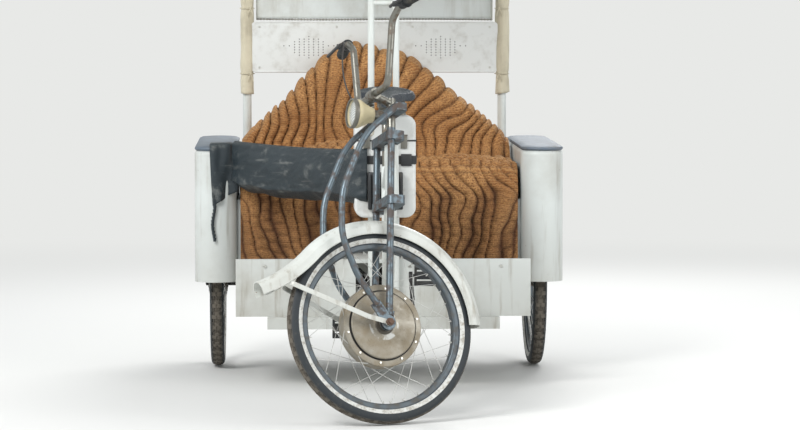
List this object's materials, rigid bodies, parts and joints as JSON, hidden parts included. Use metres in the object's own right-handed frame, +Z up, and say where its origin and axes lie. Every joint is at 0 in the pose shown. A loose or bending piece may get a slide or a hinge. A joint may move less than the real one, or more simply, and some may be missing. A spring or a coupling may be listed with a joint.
{
  "type": "cycle rickshaw",
  "caption": "Pedal tricycle with a hub motor in the steered front wheel, a passenger bench over the rear axle, wheel housings, a throw and a canopy on posts.",
  "frame": {"origin": "middle of the footprint, on the ground", "axes": "-Y forward, +X to the rider's left, +Z up"},
  "size_m": [1.3, 2.2875, 1.9572],
  "materials": {
    "white_paint": "semi_gloss",
    "dark_steel": "worn",
    "bare_steel": "worn",
    "rusty_steel": "rusty",
    "green_vinyl": "semi_gloss",
    "caramel_plush": "plush",
    "dark_leatherette": "worn",
    "white_fabric": "matte",
    "cream_fabric": "worn",
    "white_plastic": "satin",
    "black_vinyl": "satin",
    "red_plastic": "gloss",
    "black_rubber": "matte",
    "black_plastic": "satin",
    "cream_plastic": "satin",
    "tyre": "matte",
    "grey_aluminium": "satin",
    "taupe_aluminium": "dusty"
  },
  "bodies": {
    "frame": {"front_frame": "white_paint", "chassis_frame": "white_paint", "rear_axle": "dark_steel", "drive_chain": "dark_steel", "floor_pan": "white_paint", "seat_base": "white_paint", "right_side_shell": "white_paint", "left_side_shell": "white_paint", "back_panel": "white_paint", "seat_cushion": "green_vinyl", "back_cushion": "green_vinyl", "plush_throw": "caramel_plush", "apron": "dark_leatherette", "roof_frame": "white_paint", "right_rear_post": "white_paint", "left_rear_post": "white_paint", "twin_posts": "white_paint", "canopy_cover": "white_fabric", "rear_flap": "white_fabric", "rear_board": "white_plastic", "rolled_curtains": "cream_fabric", "saddle": "black_vinyl", "seat_post": "bare_steel", "battery_case": "white_plastic", "tail_lamps": "red_plastic"},
    "steering": {"fork": "bare_steel", "truss_stays": "bare_steel", "front_axle": "rusty_steel", "handlebar": "bare_steel", "handgrips": "black_rubber", "brake_levers": "black_plastic", "headlamp": "cream_plastic", "front_mudguard": "white_paint", "right_brake_cable": "black_plastic"},
    "front_wheel": {"front_tyre": "tyre", "front_rim": "grey_aluminium", "hub_motor": "taupe_aluminium"},
    "right_rear_wheel": {"right_rear_tyre": "tyre", "right_rear_rim": "grey_aluminium", "right_rear_hub": "dark_steel"},
    "left_rear_wheel": {"left_rear_tyre": "tyre", "left_rear_rim": "grey_aluminium", "left_rear_hub": "dark_steel"},
    "crank": {"crankset": "dark_steel", "pedals": "black_plastic"}
  },
  "joints": [
    {"name": "steering_turn", "type": "hinge", "parent": "frame", "child": "steering", "pos_m": [0, -0.83508, 0.76788], "axis": [0, 0.2924, 0.9563], "range_deg": [-8, 148]},
    {"name": "front_wheel_spin", "type": "hinge", "parent": "steering", "child": "front_wheel", "pos_m": [-0.04229, -0.99598, 0.29423], "axis": [0.342, -0.8986, 0.2747], "continuous": true},
    {"name": "right_rear_wheel_spin", "type": "hinge", "parent": "frame", "child": "right_rear_wheel", "pos_m": [-0.575, 0.7257, 0.305], "axis": [1, 0, 0], "continuous": true},
    {"name": "left_rear_wheel_spin", "type": "hinge", "parent": "frame", "child": "left_rear_wheel", "pos_m": [0.575, 0.7257, 0.305], "axis": [1, 0, 0], "continuous": true},
    {"name": "crank_spin", "type": "hinge", "parent": "frame", "child": "crank", "pos_m": [0, -0.4543, 0.33], "axis": [1, 0, 0], "continuous": true}
  ]
}
